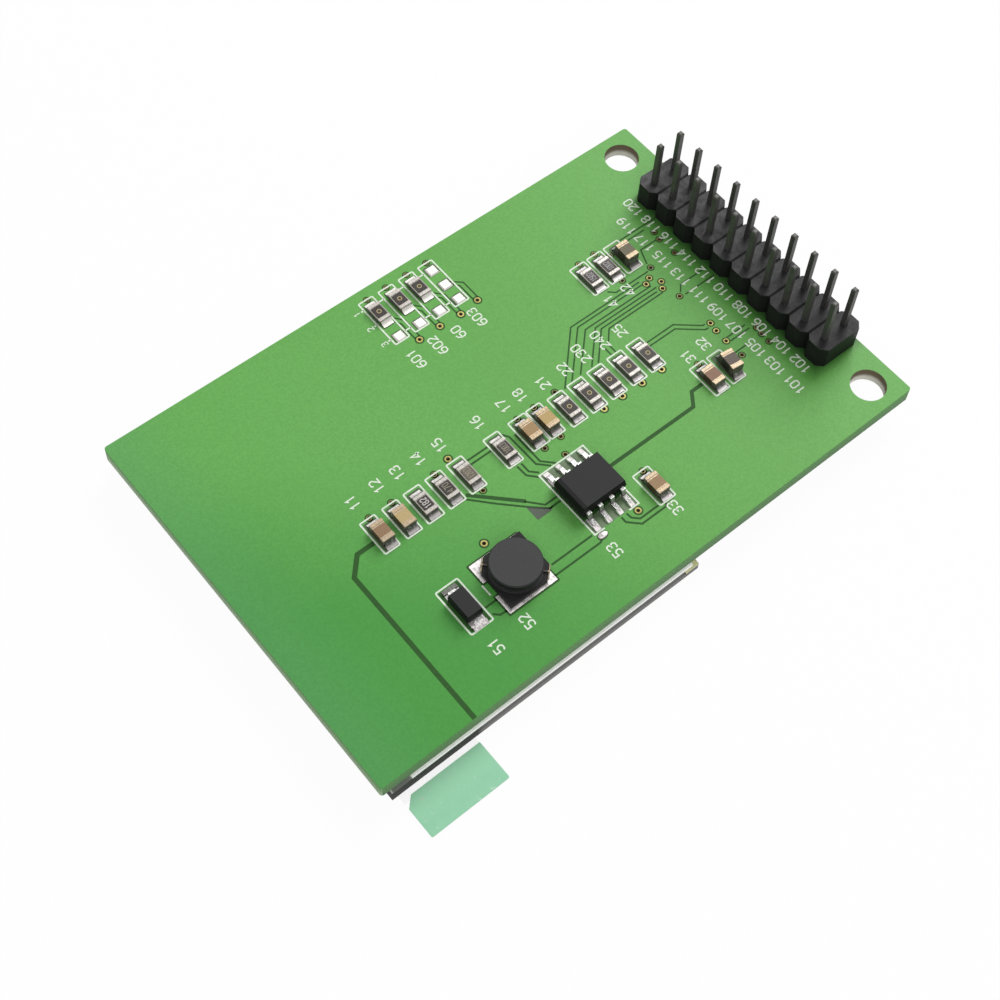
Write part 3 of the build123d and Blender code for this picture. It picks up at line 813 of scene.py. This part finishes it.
def makeChipFinish(name, x, y, turn, bodyColour, kind):
    # tinned end caps at both ends of the body, told apart by the distance from the middle
    chip = Finish(name)
    slant = math.radians(turn)
    centre = spot(x, y) / mm
    across = (chip.x - centre.x) * -math.sin(slant) + (chip.y - centre.y) * math.cos(slant)
    edge = abs(across) + chip.noise(2.0, 1.0) * 0.05
    atEnd = edge.rise(kind["bodyHalf"], kind["bodyHalf"] + 0.05)
    patchy = chip.noise(6.0, 3.0)
    body = chip.mix(patchy * 0.35, bodyColour, darker(bodyColour, 0.72))
    ends = chip.mix(patchy.rise(0.4, 0.7) * 0.6, kind["end"], chipEnds["dull"])
    # painted shade: the upright faces are painted darker, the body by sideShade and the end caps in
    # chipEnds' side colour
    upright = 1 - chip.facing("Z").rise(0.3, 0.8)
    sides = chip.mix(atEnd * 0.5, darker(bodyColour, kind["sideShade"]), chipEnds["side"])
    chip.put("Base Color", chip.mix(upright, chip.mix(atEnd, body, ends), sides))
    chip.put("Metallic", atEnd * 0.4)
    chip.put("Roughness", kind["rough"] - atEnd * (kind["rough"] - 0.3) + patchy * 0.08)
    chip.bump(patchy + atEnd * 0.4, 0.02)
    return chip


for number, (x, y) in enumerate(resistors["places"], start=1):
    name = f"resistor_{number:02d}"
    dress(makeChipFinish(name, x, y, 0, resistors["alumina"], resistors), name)
for number, (x, y, turn, colour) in enumerate(capacitors["places"], start=1):
    name = f"capacitor_{number:02d}"
    dress(makeChipFinish(name, x, y, turn, colour, capacitors), name)


def drawGlaze(shape, chosen):
    for number in chosen:
        outline = boxRound(*resistors["places"][number], resistors["glazeBox"], resistors["glazeCorner"])
        level = resistors["top"] + resistors["glazeLevel"]
        addPlate(shape, outline, resistors["glazeFoot"], level, resistors["glazeInset"])


def drawMarks(shape, chosen):
    low, high = resistors["top"], resistors["top"] + resistors["markLevel"]
    for number in chosen:
        (x, y), mark = resistors["places"][number], resistors["marks"][number]
        if mark == "0":
            addRing(shape, x, y, *resistors["markRing"], low, high)
            continue
        step = resistors["markLength"] / len(mark)
        digits = (resistors["markHeight"], step * 0.66, step, resistors["markLine"])
        startX, startY = resistors["markStart"]
        writeNumber(shape, mark, x + startX, y + startY, digits, low, high)


def makeGlazeFinish(name, colour):
    glaze = Finish(name, Specular_IOR_Level=0.3)
    glaze.put("Base Color", glaze.mix(glaze.noise(5.0, 3.0) * 0.5, colour, darker(colour, 0.6)))
    glaze.put("Roughness", 0.32 + glaze.noise(8.0) * 0.15)
    glaze.bump(glaze.noise(9.0), 0.012)
    return glaze


def makeMarkFinish(name, colour):
    ink = Finish(name, Roughness=0.6)
    ink.put("Base Color", ink.mix(ink.noise(4.0) * 0.5, colour, darker(colour, 0.7)))
    return ink


paleChips = [resistors["paleChip"]]
darkChips = [number for number in range(len(resistors["places"])) if number not in paleChips]
darkGlaze = makeGlazeFinish("darkGlaze", resistors["glaze"])
paleGlaze = makeGlazeFinish("paleGlaze", resistors["paleGlaze"])
addPiece("resistor_glaze", lambda shape: drawGlaze(shape, darkChips), darkGlaze)
addPiece("resistor_glaze_pale", lambda shape: drawGlaze(shape, paleChips), paleGlaze)
for name, (chosen, colour) in resistors["inks"].items():
    ink = makeMarkFinish(name, colour)
    addPiece(name, lambda shape: drawMarks(shape, chosen), ink)
print("chip parts dressed")


# Pin header

header = {
    "topNear": tint(46, 46, 46),
    "topFar": tint(78, 77, 79),
    "topDark": tint(34, 34, 35),
    "side": tint(20, 20, 21),
    "topFrom": (-16.0, 16.0),           # the tops turn paler along this stretch, model millimetres
    "pin": tint(92, 91, 88),
    "pinDark": tint(60, 60, 57),
    "pinCount": 20,
}


def makeHousingFinish():
    plastic = Finish("headerPlastic", Specular_IOR_Level=0.18)
    patches = plastic.noise(1.1, 3.0, 0.6)
    pale = plastic.mix(plastic.y.rise(*header["topFrom"]), header["topNear"], header["topFar"])
    tops = plastic.mix(patches.rise(0.3, 0.7), header["topDark"], pale)
    # painted shade: the upright faces are painted near black, darker than the tops
    plastic.put("Base Color", plastic.mix(plastic.facing("Z").rise(0.3, 0.9), header["side"], tops))
    plastic.put("Roughness", 0.42 + plastic.noise(3.0) * 0.2)
    plastic.bump(plastic.noise(9.0, 3.0) + patches, 0.02)
    return plastic


def makePinFinish():
    pin = Finish("pinMetal", Metallic=0.35, Specular_IOR_Level=0.3)
    pin.put("Base Color", pin.mix(pin.noise(1.2, 2.0), header["pinDark"], header["pin"]))
    pin.put("Roughness", 0.34 + pin.noise(6.0) * 0.2)
    pin.bump(pin.noise(5.0), 0.01)
    return pin


dress(makeHousingFinish(), "header_housing")
dress(makePinFinish(), *[f"header_pin_{k + 1:02d}" for k in range(header["pinCount"])])
print("header dressed")


# Package, diode and inductor

packages = {
    "top": tint(46, 46, 47),
    "side": tint(16, 16, 17),
    "slopeX": -2.1,                     # the package's top takes the side's colour about this x, for its sloping end and the shade on it, model millimetres
    "slopeReach": 0.3,
}

inductor = {
    "place": (20.12, 8.08),
    "face": tint(59, 59, 60),
    "side": tint(22, 22, 23),
    "faceRadius": 2.35,
    "ringStep": 0.24,                   # between the turning marks on its face
    "woundDarkAndShade": (tint(46, 36, 26), tint(30, 24, 20)),
    "wireEnd": (tint(120, 106, 82), tint(170, 158, 132)),
    "wireStep": 0.2,
    "barrel": (2.68, 2.76),             # beyond this radius the wire's ends lie free
}


def makePackageFinish():
    plastic = Finish("packagePlastic", Specular_IOR_Level=0.15)
    # painted shade: the upright faces, and a band across the top at the sloping end, take the dark side
    # colour
    sloping = abs(plastic.x - packages["slopeX"]) < packages["slopeReach"]
    upward = plastic.facing("Z").rise(0.3, 0.95) * (1 - sloping)
    speckle = plastic.noise(11.0, 3.0, 0.65)
    faceMix = upward * (0.75 + speckle * 0.5)
    plastic.put("Base Color", plastic.mix(faceMix, packages["side"], packages["top"]))
    plastic.put("Roughness", 0.5 + speckle * 0.2)
    plastic.bump(speckle, 0.012)
    return plastic


def inductorRadius(finish):
    centre = spot(*inductor["place"]) / mm
    return finish.distance((centre.x, centre.y))


def makeFerriteFinish():
    ferrite = Finish("ferrite", Specular_IOR_Level=0.25)
    radius = inductorRadius(ferrite)
    rings = (radius * (2 * math.pi / inductor["ringStep"])).wave()
    crumbs = ferrite.noise(7.0, 4.0, 0.6)
    # painted shade: the upright faces, and the flange's top beyond faceRadius under the disc, take the
    # dark side colour
    upward = ferrite.facing("Z").rise(0.5, 0.95) * (radius < inductor["faceRadius"])
    faceMix = upward * (0.8 + crumbs * 0.3 + rings * 0.02)
    ferrite.put("Base Color", ferrite.mix(faceMix, inductor["side"], inductor["face"]))
    ferrite.put("Roughness", 0.5 + crumbs * 0.25)
    ferrite.bump(crumbs, 0.03)
    return ferrite


def makeWireFinish():
    copper = Finish("enamelledCopper")
    turns = (copper.z * (2 * math.pi / inductor["wireStep"])).wave()
    loose = inductorRadius(copper).rise(*inductor["barrel"])
    # the wound barrel is painted near black: dark enamel, and painted shade under the core's disc
    wound = copper.mix(turns * 0.5, *inductor["woundDarkAndShade"])
    gleam = copper.mix(copper.noise(3.0), *inductor["wireEnd"])
    copper.put("Base Color", copper.mix(loose, wound, gleam))
    copper.put("Metallic", 0.2 + loose * 0.1)
    copper.put("Roughness", 0.3 + copper.noise(5.0) * 0.15)
    copper.bump(turns, 0.05)
    return copper


dress(makePackageFinish(), "regulator_body", "diode_body")
dress(makeFerriteFinish(), "inductor_core")
dress(makeWireFinish(), "inductor_winding")
print("package, diode and inductor dressed")


# Display stack, in model millimetres

display = {
    "glass": tint(34, 36, 38),
    "glassSmear": tint(52, 56, 58),
    "glassWires": tint(104, 92, 60),        # the thin conductors on the ledge
    "wireTurns": 18,
    "ledgeStart": 2.3,
    "glassEdge": tint(104, 104, 103),
    "glassEdgeLow": tint(132, 131, 129),
    "lowGlassTop": 0.95,
    "edgeShadeByTab": tint(30, 31, 30),
    "tabEnd": (-20.6, -19.8),               # where the tab ends along the panel
    "glassBare": tint(250, 249, 245),       # the lit corner of the strip that the tape leaves free
    "glassBareShade": tint(146, 147, 144),
    "bareEnd": -26.8,                       # that strip ends here
    "bareTurn": (-29.1, -28.9),             # from the lit corner to the shade
    "active": tint(14, 15, 20),             # the area that lights up, and the border round it
    "border": tint(5, 5, 6),
    "activeX": (-26.6, 0.9),
    "activeY": 17.6,
    "film": tint(246, 248, 247),
    "filmHaze": tint(236, 240, 238),
    "tab": tint(145, 207, 169),
    "tabMottle": tint(158, 210, 178),
    "tabFlecks": tint(196, 226, 204),
    "tabInnerLit": tint(180, 246, 203),        # its end beside the panel, painted paler: painted light against the board's shade
    "tabY": (-23.4, -20.2),
    "tape": tint(250, 250, 247),
    "tapeCells": tint(226, 226, 222),
    "tapePaintedGlow": 0.14,                       # painted light: the white foam glows faintly, though it is no lamp
    "flex": tint(176, 122, 44),
    "flexCopper": tint(206, 150, 70),
    "flexBondLit": tint(255, 250, 196),        # where it is bonded to the ledge: a pale bond, painted paler still as painted light where the board shades it
    "flexBondEnd": 3.9,
    "flexStep": 0.6,                        # from one conductor to the next
    "flexHalf": 12.4,
    "silicon": tint(58, 60, 66),
    "siliconDark": tint(44, 46, 52),
}


def makeGlassFinish():
    glass = Finish("panelGlass")
    smears = glass.noise(0.5, 2.0)
    sheet = glass.mix(smears * 0.4, display["glass"], display["glassSmear"])
    wires = ((glass.y * display["wireTurns"]).wave() > 0.2) * (glass.x > display["ledgeStart"])
    sheet = glass.mix(wires, sheet, display["glassWires"])

    edge = glass.mix(glass.z < display["lowGlassTop"], display["glassEdge"], display["glassEdgeLow"])
    # painted shade: the glass's near edge beside the tab is painted almost black
    byTab = 1 - glass.x.rise(*display["tabEnd"])
    edge = glass.mix(byTab * (glass.y < 0) * 0.85, edge, display["edgeShadeByTab"])
    wall = glass.onWall()

    # painted light: the glass's top in the strip that the tape leaves free is painted pale grey, near
    # white at its lit corner
    bareStrip = (glass.facing("Z") > 0.5) * (glass.x < display["bareEnd"])
    bare = glass.mix(glass.x.rise(*display["bareTurn"]), display["glassBare"], display["glassBareShade"])
    glass.put("Base Color", glass.mix(bareStrip, glass.mix(wall, sheet, edge), bare))
    glass.put("Roughness", 0.07 + smears * 0.08 + wall * 0.75)
    glass.put("Coat Weight", 0.4 - wall * 0.4)
    glass.bump(glass.noise(2.0), 0.004)
    return glass


def makePolarizerFinish():
    sheet = Finish("polarizerSheet")
    start, end = display["activeX"]
    active = (abs(sheet.y) < display["activeY"]) * (sheet.x > start) * (sheet.x < end)
    sheet.put("Base Color", sheet.mix(active, display["border"], display["active"]))
    sheet.put("Roughness", 0.12 + sheet.noise(1.0) * 0.06 + active * 0.05)
    sheet.bump(sheet.noise(0.6), 0.002)
    return sheet


def makeFilmFinish():
    film = Finish("clearFilm", IOR=1.45)
    haze = film.noise(0.35, 3.0)
    film.put("Base Color", film.mix(haze, display["film"], display["filmHaze"]))
    film.put("Alpha", 0.04 + haze * 0.05)
    film.put("Roughness", 0.12 + haze * 0.15)
    film.bump(haze + film.noise(1.0) * 0.1, 0.006)
    return film


def makeTabFinish():
    tab = Finish("greenTab", IOR=1.45)
    mottle = tab.noise(0.9, 3.0)
    flecks = tab.noise(3.2, 2.0).rise(0.64, 0.72)
    base = tab.mix(mottle * 0.5, display["tab"], display["tabMottle"])
    base = tab.mix(tab.y.rise(*display["tabY"]) * 0.75, base, display["tabInnerLit"])
    tab.put("Base Color", tab.mix(flecks * 0.6, base, display["tabFlecks"]))
    tab.put("Roughness", 0.28 + mottle * 0.15)
    tab.bump(mottle + tab.noise(4.0) * 0.2, 0.03)
    return tab


def makeFoamFinish():
    foam = Finish("foamTape", Emission_Color=(1, 1, 1, 1), Emission_Strength=display["tapePaintedGlow"])
    cells = foam.grains(3.0)
    foam.put("Base Color", foam.mix(cells * 0.25, display["tape"], display["tapeCells"]))
    foam.put("Roughness", 0.8 + cells * 0.1)
    foam.bump(cells, 0.04)
    return foam


def makeFlexFinish():
    flex = Finish("flexFilm", Coat_Weight=0.4)
    waves = (flex.y * (2 * math.pi / display["flexStep"])).wave()
    stripes = waves.rise(0.0, 0.3) * (abs(flex.y) < display["flexHalf"])
    base = flex.mix(stripes * 0.55, display["flex"], display["flexCopper"])
    flex.put("Base Color", flex.mix(flex.x < display["flexBondEnd"], base, display["flexBondLit"]))
    flex.put("Roughness", 0.28 + flex.noise(2.0) * 0.12)
    flex.bump(stripes * 0.6 + flex.noise(1.0), 0.02)
    return flex


def makeSiliconFinish():
    silicon = Finish("driverSilicon", Coat_Weight=0.6)
    silicon.put("Base Color", silicon.mix(silicon.noise(0.8), display["silicon"], display["siliconDark"]))
    silicon.put("Roughness", 0.14 + silicon.noise(4.0) * 0.08)
    silicon.bump(silicon.noise(6.0), 0.003)
    return silicon


dress(makeGlassFinish(), "front_glass", "cap_glass")
dress(makePolarizerFinish(), "polarizer")
dress(makeFilmFinish(), "protective_film")
dress(makeTabFinish(), "pull_tab")
dress(makeFoamFinish(), "mounting_tape")
dress(makeFlexFinish(), "flex_circuit")
dress(makeSiliconFinish(), "driver_chip")

flexPads = {
    "count": 30,
    "middleY": 19.55,
    "pitch": 0.8,
    "width": 0.42,
    "corner": 0.12,
    "inset": 0.1,
    "onFlex": (48.0, 48.95, -1.7, -1.77),       # x from and to, and the levels of its foot and face
    "onBoard": (49.05, 49.95, -1.6, -1.66),
}


def drawFlexPads(shape):
    for k in range(flexPads["count"]):
        y = flexPads["middleY"] + (k - (flexPads["count"] - 1) / 2) * flexPads["pitch"]
        yLow, yHigh = y - flexPads["width"] / 2, y + flexPads["width"] / 2
        for xLow, xHigh, foot, face in (flexPads["onFlex"], flexPads["onBoard"]):
            outline = boxPoints(xLow, yLow, xHigh, yHigh, flexPads["corner"])
            addPlate(shape, outline, foot, face, flexPads["inset"])


addPiece("flex_pads", drawFlexPads, solder)
print("display stack dressed")


# Floor, lights and camera

stage = {
    "floorSize": 1.6,
    "floorLevel": -0.00002,
    "floorTints": (tint(236, 236, 236), tint(240, 240, 240)),
    "floorLift": 0.96,                  # share of plain white that the camera sees on the floor
    "ambient": 0.42,
    # place, size and power
    "lamps": {
        "key": ((0.38, 0.16, 0.33), 0.3, 2.3),
        "fill": ((-0.25, -0.4, 0.42), 0.4, 0.9),
    },
}

view = {
    "place": (-59.8386, -61.8669, 138.9235),      # model millimetres
    "right": (0.76174, -0.64501, 0.06095),
    "down": (-0.50597, -0.65101, -0.56584),
    "forward": (0.40465, 0.40018, -0.82226),
    "sensor": 36,
    "lens": 65.532,
    "shift": (-0.04743, -0.15021),
    "clip": (0.005, 10),                          # metres
}


def makeFloor():
    half, level = stage["floorSize"] / 2, stage["floorLevel"]
    mesh = bpy.data.meshes.new("floor")
    corners = [(x, y, level) for x, y in ((-half, -half), (half, -half), (half, half), (-half, half))]
    mesh.from_pydata(corners, [], [(0, 1, 2, 3)])
    floor = bpy.data.objects.new("floor", mesh)
    bpy.context.scene.collection.objects.link(floor)
    card = Finish("floorCard", Roughness=0.9)
    card.put("Base Color", card.mix(card.noise(0.02), *stage["floorTints"]))
    glow = card.node("ShaderNodeEmission", {}, {"Color": (1, 1, 1, 1), "Strength": 1.0}, "Emission")
    body = Wire(card, card.shader.outputs[0])
    share = card.plainlySeen() * stage["floorLift"]
    blend = card.node("ShaderNodeMixShader", {}, {0: share, 1: body, 2: glow})
    card.feed(card.tree.nodes["Material Output"].inputs["Surface"], blend)
    mesh.materials.append(card.material)


def makeLamp(name, place, size, power):
    lamp = bpy.data.lights.new(name, "AREA")
    lamp.size = size
    lamp.energy = power
    holder = bpy.data.objects.new(name, lamp)
    holder.location = place
    holder.rotation_mode = "QUATERNION"
    holder.rotation_quaternion = (-Vector(place)).to_track_quat("-Z", "Y")
    bpy.context.scene.collection.objects.link(holder)


def makeWorld():
    world = bpy.data.worlds.new("studio")
    world.use_nodes = True
    sky = Graph(world.node_tree)
    inputs = {"Value": sky.plainlySeen(), "To Min": stage["ambient"], "To Max": 1.0}
    strength = sky.node("ShaderNodeMapRange", {}, inputs, "Result")
    backdrop = sky.tree.nodes["Background"]
    sky.feed(backdrop.inputs["Color"], (1, 1, 1, 1))
    sky.feed(backdrop.inputs["Strength"], strength)
    bpy.context.scene.world = world


def makeCamera():
    camera = bpy.data.cameras.new("camera")
    camera.sensor_width = view["sensor"]
    camera.lens = view["lens"]
    camera.shift_x, camera.shift_y = view["shift"]
    camera.clip_start, camera.clip_end = view["clip"]
    stand = bpy.data.objects.new("camera", camera)
    axes = (Vector(view["right"]), -Vector(view["down"]), -Vector(view["forward"]))
    turned = Matrix(axes).transposed().to_4x4()
    stand.matrix_world = Matrix.Translation(Vector(view["place"]) * mm) @ turned
    bpy.context.scene.collection.objects.link(stand)
    bpy.context.scene.camera = stand


makeFloor()
for name, (place, size, power) in stage["lamps"].items():
    makeLamp(name, place, size, power)
makeWorld()
makeCamera()
bpy.context.scene.view_settings.view_transform = "Standard"
print("floor, lights and camera placed")
